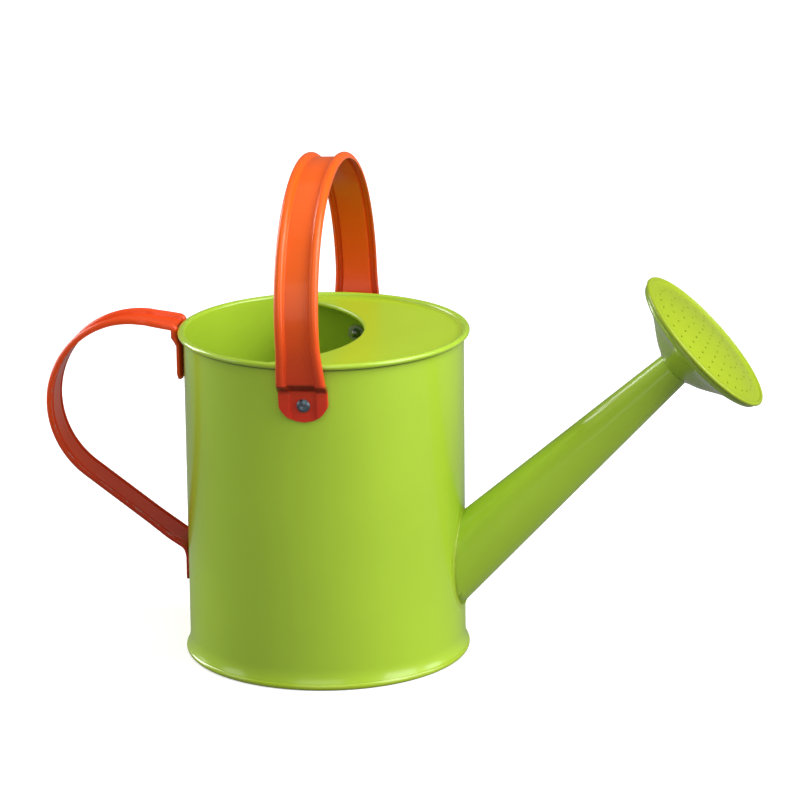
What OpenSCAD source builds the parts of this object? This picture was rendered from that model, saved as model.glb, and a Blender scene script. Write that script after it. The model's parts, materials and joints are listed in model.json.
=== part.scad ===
/* [Can] */
// Outer radius of the round sheet-metal body
can_r = 65; // [55:0.5:75]
// Height of the body to the top of its rolled rim
can_h = 155; // [140:1:175]
// Thickness of the painted sheet
sheet_t = 0.6; // [0.5:0.1:0.7]
// Radius of the rolled bead round the rim
rim_bead_r = 1.4; // [1.3:0.05:1.6]
// Radius of the folded seam round the base
base_seam_r = 66.9; // [66.8:0.1:67.5]
// Height of the folded seam round the base
base_seam_h = 3.2; // [3:0.1:4]

/* [Top cover] */
// How far ahead of the centre the filling opening reaches
opening_tip_x = 18; // [5:1:30]
// Radius of the opening's curved edge
opening_r = 64; // [58:1:75]
// Height of the turned-down hem along the opening
cover_hem_h = 2.4; // [1:0.2:4]

/* [Spout] */
// Angle of the spout above the horizontal
spout_angle = 43.6; // [35:0.2:50]
// Height at which the spout axis meets the body
spout_z = 47.7; // [42:0.5:60]
// Outer radius of the spout where its axis meets the body
spout_base_r = 16.25; // [14:0.25:18]
// Outer radius of the spout at its open end
spout_tip_r = 7.56; // [6:0.1:9]
// Length of the spout along its axis
spout_len = 146; // [130:1:150]

/* [Rose] */
// Distance along the spout axis from the body to the rose's neck
rose_at = 135.5; // [125:0.5:138]
// Depth of the bell from its neck to its rim
rose_depth = 19.1; // [16:0.1:24]
// Outer radius of the rose
rose_r = 38.1; // [34:0.1:42]
// Height of the domed face above its rim
rose_dome = 4; // [2:0.5:6]
// Radius of one spray hole
spray_hole_r = 0.55; // [0.4:0.05:0.8]
// Number of rings of spray holes round the centre hole
spray_rings = 5; // [3:1:6]
// Radial play between the rose's sleeve and the spout
rose_play = 0.06; // [0.03:0.01:0.1]

/* [Handle strap] */
// Width of the pressed strap
strap_w = 20; // [18:0.5:22]
// Thickness of the strap's sheet
strap_t = 0.8; // [0.7:0.1:1]
// Outer radius of the half-round bead along each edge
strap_bead_r = 2.2; // [1.8:0.1:2.4]
// Width of the flattened ends that the rivets go through
tab_w = 22.7; // [21:0.1:25]

/* [Top handle] */
// Height of the rivets that the top handle swings on
pivot_z = 135.7; // [130:0.5:140]
// Distance of the rivets ahead of the body's centre
pivot_x = 3.2; // [-4:0.2:5]
// Lean of the top handle towards the back, in degrees
handle_lean = 2; // [0:0.5:5]
// Half of the handle's width at its widest
handle_half_w = 73.3; // [72:0.1:78]
// Height at which the legs start to curve inwards
shoulder_z = 168.3; // [162:0.1:176]
// Radius of the shoulders
shoulder_r = 62; // [40:1:66]
// Radius of the crown
crown_r = 82; // [75:1:100]

/* [Rear handle] */
// Height at which the grip leaves its lower tab
rear_low_z = 49.2; // [44:0.2:54]
// Angle of the straight lower run above the horizontal
rear_angle = 36.4; // [32:0.2:42]
// Length of the straight lower run
rear_run = 56.4; // [50:0.2:62]
// Radius of the round upper part of the grip
rear_r = 41; // [36:0.5:44]
// Slope of the grip where it comes back to the rim
rear_end_slope = 8; // [4:1:12]

/* [Rivets] */
// Radius of a rivet's shank
rivet_r = 1.6; // [1.4:0.1:2]
// Radius of a rivet's domed head
rivet_head_r = 3.1; // [2.8:0.1:3.6]
// Height of a rivet's domed head
rivet_head_h = 1.3; // [1:0.1:1.6]
// Radius of the washers inside the can
washer_r = 3.8; // [3.4:0.1:4.4]
// Height of the upper rivet of the rear handle
rear_rivet_high_z = 140.6; // [138:0.2:143]
// Height of the lower rivet of the rear handle
rear_rivet_low_z = 38.6; // [37:0.2:41]

/* [Hidden] */
$fn = 96;
can_in_r = can_r - sheet_t;
rim_mid_r = can_r + rim_bead_r - 0.1;
rim_mid_z = can_h - 0.1 - rim_bead_r;
rim_wire_r = rim_bead_r - sheet_t;
flare_top_z = base_seam_h + 6.5;
flare_mid_z = base_seam_h + 3;
flare_r = base_seam_r - sheet_t;
flare_mid_r = can_r + 0.35;
cover_z = rim_mid_z - rim_bead_r;
opening_x = opening_tip_x - opening_r;
cover_lip_h = 1.6;
weld_w = 1.6;
weld_h = 1.1;
spout_dir = [cos(spout_angle), 0, sin(spout_angle)];
spout_taper = (spout_base_r - spout_tip_r) / spout_len;
spout_root = 40;
sleeve_len = spout_len - rose_at;
bell_rim_t = 1;
bell_inwards = [-0.35, 1.1];
hem_r = 1;
hem_lap = 0.5;
spray_margin = 5;
hole_fn = 24;
dome_fn = 240;
handle_gap = 0.3;
rivet_play = 0.05;
washer_t = 0.8;
washer_gap = 0.4;
rear_washer_gap = 0.15;
mandrel_r = 0.9;
mandrel_sink = 0.5;
mandrel_head_r = 1.8;
mandrel_head_h = 1.2;
set_r = 2.4;
set_h = 1.8;
tab_low = 7.9;
tab_high = 6.3;
tab_round_r = 12.2;
tab_fold_t = 0.7;
tab_fold_w = 4.6;
joggle_h = 4.6;
fold_lap = 0.4;
fold_reach = 1.2;
fold_proud = 0.3;
fold_clear = 0.1;
fold_hug = 0.35;
leg_lean = 9;
bend_step = 5;
cut = 1;
big = 400;

// Angle from the crown's middle to where each shoulder takes over
crown_half = asin((handle_half_w - shoulder_r) / (crown_r - shoulder_r));

// Length of a leg's straight part, and how far out its foot stands
leg_rise = shoulder_z - shoulder_r * sin(leg_lean) - pivot_z - tab_high - joggle_h;
leg_run = leg_rise / cos(leg_lean);
leg_foot_x = handle_half_w - shoulder_r * (1 - cos(leg_lean)) - leg_rise * tan(leg_lean);

// Outer face of the top handle's flattened ends, measured out from the can's centre plane
tab_face_y = can_r + handle_gap + strap_t;

// Centre of the round part of the rear grip
rear_x = -can_r - 2.2;
rear_mid_x = rear_x - rear_run * cos(rear_angle) + rear_r * sin(rear_angle);
rear_mid_z = rear_low_z + rear_run * sin(rear_angle) + rear_r * cos(rear_angle);
rear_end_x = rear_mid_x + rear_r * sin(rear_end_slope);
rear_end_z = rear_mid_z + rear_r * cos(rear_end_slope);
rear_back_x = -can_r - 4.2;
rear_tab_top_z = can_h - 8.5;
rear_bend_z = can_h - 5;
rear_foot_z = rear_low_z - 2.6;
rear_inner_x = -can_r - strap_t + fold_hug;
rear_outer_x = -can_r - strap_t - fold_hug;
rear_high_tab_z = 130;
rear_low_tab_z = 32.4;

// ---- placement helpers ----

// Puts children drawn along +Z onto the spout axis, at a distance from the body
module on_spout(along) {
    translate([can_r, 0, spout_z] + along * spout_dir) rotate([0, 90 - spout_angle, 0]) children();
}

// Turns children drawn along +Z to point out of the can's side, at side +1 or -1 of Y
module at_pivot(side) {
    translate([pivot_x, 0, pivot_z]) rotate([-90 * side, 0, 0]) children();
}

// Turns children drawn along +Z to point out of the can's back
module at_back(height) {
    translate([0, 0, height]) rotate([0, -90, 0]) children();
}

// ---- can ----

module body_profile() {
    polygon([
        [flare_r, sheet_t], [flare_r, base_seam_h], [flare_mid_r, flare_mid_z], [can_r, flare_top_z],
        [can_r, rim_mid_z], [can_in_r, rim_mid_z], [can_in_r, flare_top_z],
        [flare_mid_r - sheet_t, flare_mid_z], [flare_r - sheet_t, base_seam_h],
        [flare_r - sheet_t, sheet_t]
    ]);
    difference() {
        translate([rim_mid_r, rim_mid_z]) circle(rim_bead_r);
        translate([rim_mid_r, rim_mid_z]) circle(rim_wire_r);
    }
}

module body_shell() {
    color([0.62, 0.78, 0.16]) difference() {
        rotate_extrude() body_profile();
        spout_cone(-sheet_t);
        for (side = [-1, 1]) at_pivot(side) cylinder(h = can_r + cut, r = rivet_r);
        for (height = [rear_rivet_low_z, rear_rivet_high_z]) {
            at_back(height) cylinder(h = can_r + cut, r = rivet_r);
        }
    }
}

module rim_wire() {
    color([0.55, 0.56, 0.58]) rotate_extrude() translate([rim_mid_r, rim_mid_z]) circle(rim_wire_r);
}

module base_profile() {
    square([flare_r - sheet_t, base_seam_h]);
    square([base_seam_r, sheet_t]);
    translate([flare_r, 0]) square([sheet_t, base_seam_h]);
}

module base_plate() {
    color([0.55, 0.70, 0.15]) difference() {
        rotate_extrude() base_profile();
        translate([0, 0, -cut]) cylinder(h = base_seam_h - sheet_t + cut, r = flare_r - 2 * sheet_t);
    }
}

module opening_edge(r, low, high) {
    translate([opening_x, 0, low]) cylinder(h = high - low, r = r);
}

module top_cover() {
    color([0.70, 0.84, 0.20]) {
        difference() {
            translate([0, 0, cover_z]) cylinder(h = cover_lip_h, r = can_in_r);
            translate([0, 0, cover_z + sheet_t]) cylinder(h = can_h, r = can_in_r - sheet_t);
            opening_edge(opening_r, cover_z - cut, can_h + cut);
        }
        intersection() {
            difference() {
                opening_edge(opening_r + sheet_t, cover_z - cover_hem_h, cover_z + sheet_t);
                opening_edge(opening_r, cover_z - cover_hem_h - cut, can_h);
            }
            cylinder(h = can_h, r = can_in_r);
        }
    }
}

// ---- spout ----

// The spout's cone, made larger or smaller by an allowance on its radius
module spout_cone(allowance) {
    low_r = spout_base_r + spout_root * spout_taper + allowance;
    on_spout(-spout_root) cylinder(h = spout_root + spout_len, r1 = low_r, r2 = spout_tip_r + allowance);
}

module spout_tube() {
    color([0.58, 0.74, 0.16]) difference() {
        spout_cone(0);
        spout_cone(-sheet_t);
        on_spout(spout_len) cylinder(h = cut, r = spout_base_r);
        cylinder(h = can_h, r = can_r);
    }
}

module spout_weld() {
    color([0.72, 0.80, 0.30]) difference() {
        intersection() {
            spout_cone(weld_w);
            cylinder(h = can_h, r = can_r + weld_h);
            translate([0, -can_r, 0]) cube([big, 2 * can_r, can_h]);
        }
        spout_cone(0);
        cylinder(h = can_h, r = can_r);
    }
}

// ---- rose ----

// Outer outline of the bell, from its neck to its rim, as [radius, distance from the neck]
bell_outline = [
    [spout_tip_r + 1.4, 0], [11.6, 1.6], [15, 3.5], [19.2, 6.4], [23, 9.2], [27.6, 12.1],
    [30.6, 13.7], [34.2, 15.3], [rose_r - bell_rim_t, rose_depth - bell_rim_t - sheet_t]
];

// The same outline moved inwards by the sheet, back from the rim to the neck
bell_lining = backwards([for (p = bell_outline) p + bell_inwards * sheet_t]);

module rose_bell() {
    neck_r = spout_tip_r + sleeve_len * spout_taper + rose_play;
    tip_r = spout_tip_r + rose_play;
    color([0.50, 0.62, 0.18]) on_spout(rose_at) {
        rotate_extrude() polygon(concat(bell_outline, bell_lining));
        difference() {
            cylinder(h = sleeve_len, r1 = neck_r + sheet_t, r2 = tip_r + sheet_t);
            cylinder(h = sleeve_len, r1 = neck_r, r2 = tip_r);
        }
    }
}

// Radius of the sphere that the domed face is part of
dome_base_r = rose_r - 2 * hem_r;
dome_r = (dome_base_r * dome_base_r + rose_dome * rose_dome) / (2 * rose_dome);

module dome_shell() {
    intersection() {
        difference() {
            translate([0, 0, rose_dome - dome_r]) sphere(dome_r, $fn = dome_fn);
            translate([0, 0, rose_dome - dome_r]) sphere(dome_r - sheet_t, $fn = dome_fn);
        }
        cylinder(h = rose_dome + cut, r = dome_base_r);
    }
}

module spray_holes() {
    ring_step = (dome_base_r - spray_margin) / spray_rings;
    cylinder(h = 2 * rose_dome, r = spray_hole_r, $fn = hole_fn);
    for (ring = [1 : spray_rings]) {
        for (i = [0 : 6 * ring - 1]) {
            rotate(i * 60 / ring) translate([ring * ring_step, 0, 0]) {
                cylinder(h = 2 * rose_dome, r = spray_hole_r, $fn = hole_fn);
            }
        }
    }
}

module rose_face() {
    color([0.76, 0.85, 0.18]) on_spout(rose_at + rose_depth) {
        difference() {
            dome_shell();
            spray_holes();
        }
        rotate_extrude() translate([rose_r - hem_r, 0]) circle(hem_r);
        difference() {
            cylinder(h = sheet_t, r = rose_r - hem_r);
            translate([0, 0, -cut]) cylinder(h = 2 * cut, r = dome_base_r - hem_lap);
            translate([0, 0, rose_dome - dome_r]) sphere(dome_r - sheet_t, $fn = dome_fn);
        }
    }
}

// ---- strap ----

// A path is a list of stations [x, y, heading]. Each step is [radius, amount]: a straight run in
// millimetres where the radius is 0, and otherwise a left-hand bend in degrees.
function next_station(at, step) =
    step[0] == 0
        ? [at[0] + step[1] * cos(at[2]), at[1] + step[1] * sin(at[2]), at[2]]
        : [
            at[0] + step[0] * (sin(at[2] + step[1]) - sin(at[2])),
            at[1] - step[0] * (cos(at[2] + step[1]) - cos(at[2])),
            at[2] + step[1]
        ];

function walk(at, steps, k = 0) =
    k == len(steps) ? [at] : concat([at], walk(next_station(at, steps[k]), steps, k + 1));

// Splits each bend into equal small turns
function small_steps(steps) = [
    for (s = steps)
        let (parts = s[0] == 0 ? 1 : ceil(s[1] / bend_step))
        for (i = [1 : parts]) [s[0], s[1] / parts]
];

// The path's points, moved to its outer side
function beside(stations, out) = [for (p = stations) [p[0] + out * sin(p[2]), p[1] - out * cos(p[2])]];

function backwards(list) = [for (i = [len(list) - 1 : -1 : 0]) list[i]];

// A band along the path between two distances to its outer side
module band(stations, low, high, width, mid) {
    translate([0, 0, mid - width / 2]) linear_extrude(width) {
        polygon(concat(beside(stations, low), backwards(beside(stations, high))));
    }
}

// The pressed strap along a path, with a hollow bead along each edge; the longer path is for its cuts
module strap(stations, longer) {
    bead_w = 2 * strap_bead_r;
    difference() {
        band(stations, -strap_t, strap_bead_r, strap_w, 0);
        band(longer, 0, strap_bead_r + cut, strap_w - 2 * bead_w, 0);
        for (side = [-1, 1]) {
            band(longer, -strap_t - cut, strap_bead_r - strap_t, bead_w - 2 * strap_t,
                side * (strap_w - bead_w) / 2);
        }
    }
}

// A flat plate of strap sheet that follows a folded line, drawn in X and Y and extruded along its width
module folded_plate(points, width) {
    translate([0, 0, -width / 2]) linear_extrude(width) polygon(points);
}

// ---- top handle ----

// Outline of one flattened end, with its rivet hole at the origin
module tab_outline() {
    intersection() {
        translate([-tab_w / 2, -tab_low]) square([tab_w, tab_low + tab_high]);
        union() {
            translate([0, tab_round_r - tab_low]) circle(tab_round_r);
            translate([-tab_w / 2, 0]) square([tab_w, tab_high]);
        }
    }
}

// One flattened end, drawn with its inner face on the plane Z = 0 and the strap above it
module handle_tab() {
    difference() {
        union() {
            linear_extrude(strap_t) tab_outline();
            linear_extrude(strap_t + tab_fold_t) intersection() {
                tab_outline();
                for (side = [-1, 1]) {
                    translate([side * (tab_w - tab_fold_w) / 2 - tab_fold_w / 2, -tab_low]) {
                        square([tab_fold_w, big]);
                    }
                }
            }
        }
        translate([0, 0, -cut]) cylinder(h = 4 * cut, r = rivet_r + rivet_play);
    }
}

// The path from one joggle over the crown to the other, with its straight ends made longer
function bow_path(extra) = walk(
    [
        leg_foot_x - extra * sin(leg_lean),
        tab_high + joggle_h - extra * cos(leg_lean),
        90 - leg_lean
    ],
    small_steps([
        [0, leg_run + extra],
        [shoulder_r, 90 - crown_half + leg_lean],
        [crown_r, 2 * crown_half],
        [shoulder_r, 90 - crown_half + leg_lean],
        [0, leg_run + extra]
    ])
);

// The slanting step between one tab and its leg, which runs a little way into both
module joggle() {
    top = tab_high + joggle_h;
    inner_y = tab_face_y - strap_t;
    inner_x = leg_foot_x - strap_t;
    folded_plate([
        [inner_y, tab_high - fold_lap], [tab_face_y, tab_high - fold_lap], [tab_face_y, tab_high],
        [leg_foot_x + fold_proud, top], [leg_foot_x + fold_lap, top + fold_reach],
        [inner_x + fold_lap, top + fold_reach], [inner_x - fold_clear, top],
        [inner_y, tab_high + fold_lap]
    ], strap_w + 1);
}

module top_handle() {
    color([0.90, 0.32, 0.10]) translate([pivot_x, 0, pivot_z]) rotate([0, -handle_lean, 0]) {
        rotate([90, 0, -90]) strap(bow_path(0), bow_path(cut));
        for (side = [-1, 1]) {
            rotate([90, 0, side * 90]) joggle();
            rotate([90, 0, 90 + side * 90]) translate([0, 0, tab_face_y - strap_t]) handle_tab();
        }
    }
}

// ---- rear handle ----

// A tab that hugs the can, between two heights
module rear_tab(low, high) {
    intersection() {
        difference() {
            cylinder(h = can_h, r = can_r + strap_t);
            cylinder(h = can_h, r = can_r);
        }
        translate([-can_r - cut, -tab_w / 2, low]) cube([can_r / 2, tab_w, high - low]);
    }
}

// The folded sheet that brings the grip's upper end down behind the rim and in to the tab
module rear_shoulder() {
    top_z = rear_end_z - (rear_back_x - rear_end_x) * tan(rear_end_slope);
    rise = fold_reach * tan(rear_end_slope);
    foot_z = rear_tab_top_z - fold_lap;
    rotate([90, 0, 0]) folded_plate([
        [rear_back_x - fold_reach, top_z + rise], [rear_back_x + strap_t, top_z],
        [rear_back_x + strap_t, rear_bend_z + strap_t], [rear_inner_x, rear_tab_top_z + strap_t],
        [rear_inner_x, foot_z], [rear_outer_x, foot_z],
        [rear_outer_x, rear_tab_top_z + fold_lap], [rear_back_x, rear_bend_z],
        [rear_back_x, top_z - strap_t], [rear_back_x - fold_reach, top_z - strap_t + rise]
    ], tab_w);
}

// The grip's path from its lower end round to the rim, with its straight ends made longer
function rear_path(extra) = walk(
    [
        -rear_x - extra * cos(rear_angle),
        rear_low_z - extra * sin(rear_angle),
        rear_angle
    ],
    small_steps([
        [0, rear_run + extra],
        [rear_r, 180 - rear_angle + rear_end_slope],
        [0, (rear_back_x - rear_end_x) / cos(rear_end_slope) + extra]
    ])
);

// The bend between the lower tab and the straight run
module rear_foot() {
    rotate([90, 0, 0]) folded_plate([
        [rear_inner_x, rear_foot_z - strap_t], [rear_inner_x, rear_foot_z + 1.4 * strap_t],
        [rear_x - fold_lap, rear_low_z + strap_t], [rear_x - fold_reach, rear_low_z + fold_clear],
        [rear_outer_x, rear_foot_z], [rear_outer_x, rear_foot_z - strap_t]
    ], strap_w);
}

module rear_handle() {
    color([0.86, 0.26, 0.09]) difference() {
        union() {
            rear_tab(rear_high_tab_z, rear_tab_top_z);
            rear_tab(rear_low_tab_z, rear_foot_z + fold_lap);
            rear_shoulder();
            rear_foot();
            rotate([90, 0, 180]) strap(rear_path(0), rear_path(cut));
        }
        for (height = [rear_rivet_low_z, rear_rivet_high_z]) {
            at_back(height) cylinder(h = can_r + 2 * cut, r = rivet_r);
        }
    }
}

// ---- rivets, drawn along +Z with the can's axis at Z = 0 ----

module rivet(head_z, washer_z) {
    ball_r = (rivet_head_r * rivet_head_r + rivet_head_h * rivet_head_h) / (2 * rivet_head_h);
    low = washer_z - set_h;
    color([0.52, 0.56, 0.60]) difference() {
        union() {
            intersection() {
                translate([0, 0, head_z + rivet_head_h - ball_r]) sphere(ball_r);
                translate([0, 0, head_z]) cylinder(h = rivet_head_h, r = rivet_head_r);
            }
            translate([0, 0, low]) cylinder(h = head_z + fold_clear - low, r = rivet_r);
            translate([0, 0, low]) cylinder(h = set_h, r = set_r);
        }
        translate([0, 0, low - cut]) cylinder(h = head_z + rivet_head_h - low + 2 * cut, r = mandrel_r);
    }
}

module washer(washer_z) {
    color([0.62, 0.64, 0.66]) difference() {
        translate([0, 0, washer_z]) cylinder(h = washer_t, r = washer_r);
        translate([0, 0, washer_z - cut]) cylinder(h = washer_t + 2 * cut, r = rivet_r);
    }
}

module mandrel(head_z, washer_z) {
    low = washer_z - set_h;
    color([0.34, 0.36, 0.40]) union() {
        translate([0, 0, low]) cylinder(h = head_z + rivet_head_h - mandrel_sink - low, r = mandrel_r);
        translate([0, 0, low - mandrel_head_h]) cylinder(h = mandrel_head_h, r = mandrel_head_r);
    }
}

pivot_head_z = tab_face_y + handle_gap;
pivot_washer_z = can_in_r - washer_t - washer_gap;
rear_head_z = can_r + strap_t;
rear_washer_z = can_in_r - washer_t - rear_washer_gap;

module pivot_rivet_near() { at_pivot(-1) rivet(pivot_head_z, pivot_washer_z); }
module pivot_rivet_far() { at_pivot(1) rivet(pivot_head_z, pivot_washer_z); }
module pivot_washer_near() { at_pivot(-1) washer(pivot_washer_z); }
module pivot_washer_far() { at_pivot(1) washer(pivot_washer_z); }
module pivot_mandrel_near() { at_pivot(-1) mandrel(pivot_head_z, pivot_washer_z); }
module pivot_mandrel_far() { at_pivot(1) mandrel(pivot_head_z, pivot_washer_z); }
module rear_rivet_upper() { at_back(rear_rivet_high_z) rivet(rear_head_z, rear_washer_z); }
module rear_rivet_lower() { at_back(rear_rivet_low_z) rivet(rear_head_z, rear_washer_z); }
module rear_washer_upper() { at_back(rear_rivet_high_z) washer(rear_washer_z); }
module rear_washer_lower() { at_back(rear_rivet_low_z) washer(rear_washer_z); }
module rear_mandrel_upper() { at_back(rear_rivet_high_z) mandrel(rear_head_z, rear_washer_z); }
module rear_mandrel_lower() { at_back(rear_rivet_low_z) mandrel(rear_head_z, rear_washer_z); }

body_shell();
rim_wire();
base_plate();
top_cover();
spout_tube();
spout_weld();
rose_bell();
rose_face();
top_handle();
rear_handle();
pivot_rivet_near();
pivot_rivet_far();
pivot_washer_near();
pivot_washer_far();
pivot_mandrel_near();
pivot_mandrel_far();
rear_rivet_upper();
rear_rivet_lower();
rear_washer_upper();
rear_washer_lower();
rear_mandrel_upper();
rear_mandrel_lower();
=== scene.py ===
"""A small painted metal watering can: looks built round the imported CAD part.

Everything is in metres, in the part's own frame: the origin is the centre of the base, +X points
to the spout, +Y runs along the top handle's pivot axis and +Z is up.
"""

import json
import math

import bmesh
import bpy
import numpy as np
from mathutils import Matrix, Vector


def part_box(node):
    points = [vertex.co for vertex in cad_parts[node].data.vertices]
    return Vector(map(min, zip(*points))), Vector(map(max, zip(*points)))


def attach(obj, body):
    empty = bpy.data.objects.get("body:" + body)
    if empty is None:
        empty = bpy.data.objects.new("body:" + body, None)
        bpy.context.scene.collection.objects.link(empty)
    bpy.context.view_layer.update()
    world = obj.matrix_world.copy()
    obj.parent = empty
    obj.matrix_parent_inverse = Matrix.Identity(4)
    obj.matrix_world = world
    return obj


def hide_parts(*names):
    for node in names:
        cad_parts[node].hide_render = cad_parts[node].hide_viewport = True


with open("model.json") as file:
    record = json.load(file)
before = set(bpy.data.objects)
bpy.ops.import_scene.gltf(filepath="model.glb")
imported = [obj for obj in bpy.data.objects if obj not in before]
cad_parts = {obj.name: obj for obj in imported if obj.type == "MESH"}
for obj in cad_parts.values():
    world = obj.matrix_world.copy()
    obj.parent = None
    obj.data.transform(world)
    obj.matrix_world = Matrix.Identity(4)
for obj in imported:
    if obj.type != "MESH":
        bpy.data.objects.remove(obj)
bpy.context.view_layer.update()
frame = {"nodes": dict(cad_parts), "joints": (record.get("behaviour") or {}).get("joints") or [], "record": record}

MM = 0.001
NODES = frame["nodes"]
JOINTS = {joint["name"]: joint for joint in frame["joints"]}

# ---- sizes in millimetres, and angles in radians ----

# sheet, and the pressed strap with a bead along each edge
SHEET = 0.6
STRAP_T = 0.8
STRAP_W = 20.0
BEAD_R = 2.2

# the strap's tabs, which reach below and above their rivets, and the joggle that leads to them
TAB_W = 22.7
TAB_LOW = 7.9
TAB_HIGH = 6.3
TAB_ROUND_R = 12.2
TAB_BEAD_H = 1.15
TAB_BEAD_SPREAD = 1.0
JOGGLE_H = 4.6

# the top handle's legs, shoulders and crown
LEG_LEAN = math.radians(9)
HANDLE_LEAN = math.radians(2)
HANDLE_HALF_W = 73.3
SHOULDER_Z = 168.3
SHOULDER_R = 62.0
CROWN_R = 82.0

# the rear handle: its straight run, loop, fold and upper tab
REAR_ANGLE = math.radians(36.4)
REAR_RUN_Z = 49.2
REAR_RUN_GAP = 2.2
REAR_R = 41.0
REAR_END_SLOPE = math.radians(8)
REAR_FOLD_GAP = 4.2
REAR_TAB_Z = 130.0
REAR_TAB_BEAD_H = 0.6

# the cover's opening, the spout and the rose
OPENING_TIP_X = 18.0
OPENING_R = 64.0
SPOUT_TAPER = 0.0595
ROSE_DOME = 4.0
ROSE_FLANGE = 6.0
SPRAY_RINGS = 5
SPRAY_HOLE_R = 0.55

# rivets
RIVET_R = 1.6
RIVET_HEAD_R = 3.1
RIVET_HEAD_H = 1.3

# play, an overlap at the rim, the easing of the spout's tip and what keeps the rose in the CAD part's box
PIVOT_PLAY = 0.05
HANDLE_GAP = 0.3
ROSE_PLAY = 0.06
RIM_OVERLAP = 0.1
TIP_EASE = 0.12
BOX_MARGIN = 0.02

# ---- distances at which points merge, in metres ----
PIECE_WELD = 0.000005
CUTTER_WELD = 0.000001


def box_mm(node):
    low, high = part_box(node)
    return np.array(low) / MM, np.array(high) / MM


def points_mm(node):
    """The CAD node's own points, in millimetres."""
    mesh = NODES[node].data
    found = np.zeros(len(mesh.vertices) * 3)
    mesh.vertices.foreach_get("co", found)
    return found.reshape(-1, 3) / MM


# ---- places, from the frame ----
WIRE_LOW, WIRE_HIGH = box_mm("rim_wire")
WIRE_R = (WIRE_HIGH[2] - WIRE_LOW[2]) / 2
RIM_MID_Z = (WIRE_HIGH[2] + WIRE_LOW[2]) / 2
RIM_R = WIRE_HIGH[0] + SHEET
CAN_R = WIRE_HIGH[0] - 2 * WIRE_R - SHEET + RIM_OVERLAP
CAN_TOP = RIM_MID_Z + WIRE_R + SHEET
SEAM_R = box_mm("base_plate")[1][0]
SEAM_H = box_mm("base_plate")[1][2]
BEAD_FOOT = RIM_MID_Z - WIRE_R - SHEET
PIVOT = np.array(JOINTS["handle_swing"]["pos_m"]) / MM
SPOUT_DIR = Vector(JOINTS["rose_pull"]["axis"]).normalized()


def axis_range(node, direction):
    """How far a node reaches along a direction, in millimetres from the origin."""
    reach = points_mm(node) @ np.array(direction)
    return reach.min(), reach.max()


def spout_tip():
    """(centre, outer radius) of the spout's open end."""
    found = points_mm("spout_tube")
    reach = found @ np.array(SPOUT_DIR)
    ring = found[reach > reach.max() - 0.05]
    centre = (ring.min(0) + ring.max(0)) / 2
    return Vector(centre), np.linalg.norm(ring - centre, axis=1).max()


SPOUT_TIP, SPOUT_TIP_R = spout_tip()
SPOUT_END = axis_range("spout_tube", SPOUT_DIR)[1]
ROSE_NECK = axis_range("rose_bell", SPOUT_DIR)[0] - SPOUT_END
ROSE_RIM = axis_range("rose_bell", SPOUT_DIR)[1] - SPOUT_END
ROSE_R = (box_mm("rose_face")[1][1] - box_mm("rose_face")[0][1]) / 2 - BOX_MARGIN


# ---- materials ----


def node_tree(name):
    material = bpy.data.materials.new(name)
    material.use_nodes = True
    tree = material.node_tree
    return material, tree, tree.nodes["Principled BSDF"]


def noise(tree, coords, scale, detail, roughness=0.5):
    texture = tree.nodes.new("ShaderNodeTexNoise")
    texture.inputs["Scale"].default_value = scale
    texture.inputs["Detail"].default_value = detail
    texture.inputs["Roughness"].default_value = roughness
    tree.links.new(coords, texture.inputs["Vector"])
    return texture.outputs["Fac"]


def remap(tree, value, low, high, out_low, out_high):
    ramp = tree.nodes.new("ShaderNodeMapRange")
    ramp.inputs["From Min"].default_value = low
    ramp.inputs["From Max"].default_value = high
    ramp.inputs["To Min"].default_value = out_low
    ramp.inputs["To Max"].default_value = out_high
    tree.links.new(value, ramp.inputs["Value"])
    return ramp.outputs["Result"]


def blend_colors(tree, factor, first, second):
    """Mixes two colours, each either a colour or another node's output."""
    mix = tree.nodes.new("ShaderNodeMix")
    mix.data_type = "RGBA"
    tree.links.new(factor, mix.inputs["Factor"])
    for socket, value in ((mix.inputs[6], first), (mix.inputs[7], second)):
        if isinstance(value, tuple):
            socket.default_value = (*value, 1)
        else:
            tree.links.new(value, socket)
    return mix.outputs[2]


def bump(tree, height, strength, distance, normal=None):
    node = tree.nodes.new("ShaderNodeBump")
    node.inputs["Strength"].default_value = strength
    node.inputs["Distance"].default_value = distance
    tree.links.new(height, node.inputs["Height"])
    if normal is not None:
        tree.links.new(normal, node.inputs["Normal"])
    return node.outputs["Normal"]


def multiply(tree, first, second):
    node = tree.nodes.new("ShaderNodeMath")
    node.operation = "MULTIPLY"
    node.use_clamp = True
    tree.links.new(first, node.inputs[0])
    tree.links.new(second, node.inputs[1])
    return node.outputs["Value"]


def scaled(color, factor):
    return tuple(min(1.0, channel * factor) for channel in color)


def height_of(tree, coords):
    split = tree.nodes.new("ShaderNodeSeparateXYZ")
    tree.links.new(coords, split.inputs["Vector"])
    return split.outputs["Z"]


def outside_mask(tree, coords, radius):
    """1 on what lies outside a radius round the can's axis, 0 within it."""
    flat = tree.nodes.new("ShaderNodeVectorMath")
    flat.operation = "MULTIPLY"
    flat.inputs[1].default_value = (1, 1, 0)
    tree.links.new(coords, flat.inputs[0])
    length = tree.nodes.new("ShaderNodeVectorMath")
    length.operation = "LENGTH"
    tree.links.new(flat.outputs[0], length.inputs[0])
    return remap(tree, length.outputs["Value"], (radius - 0.2) * MM, radius * MM, 0, 1)


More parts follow.
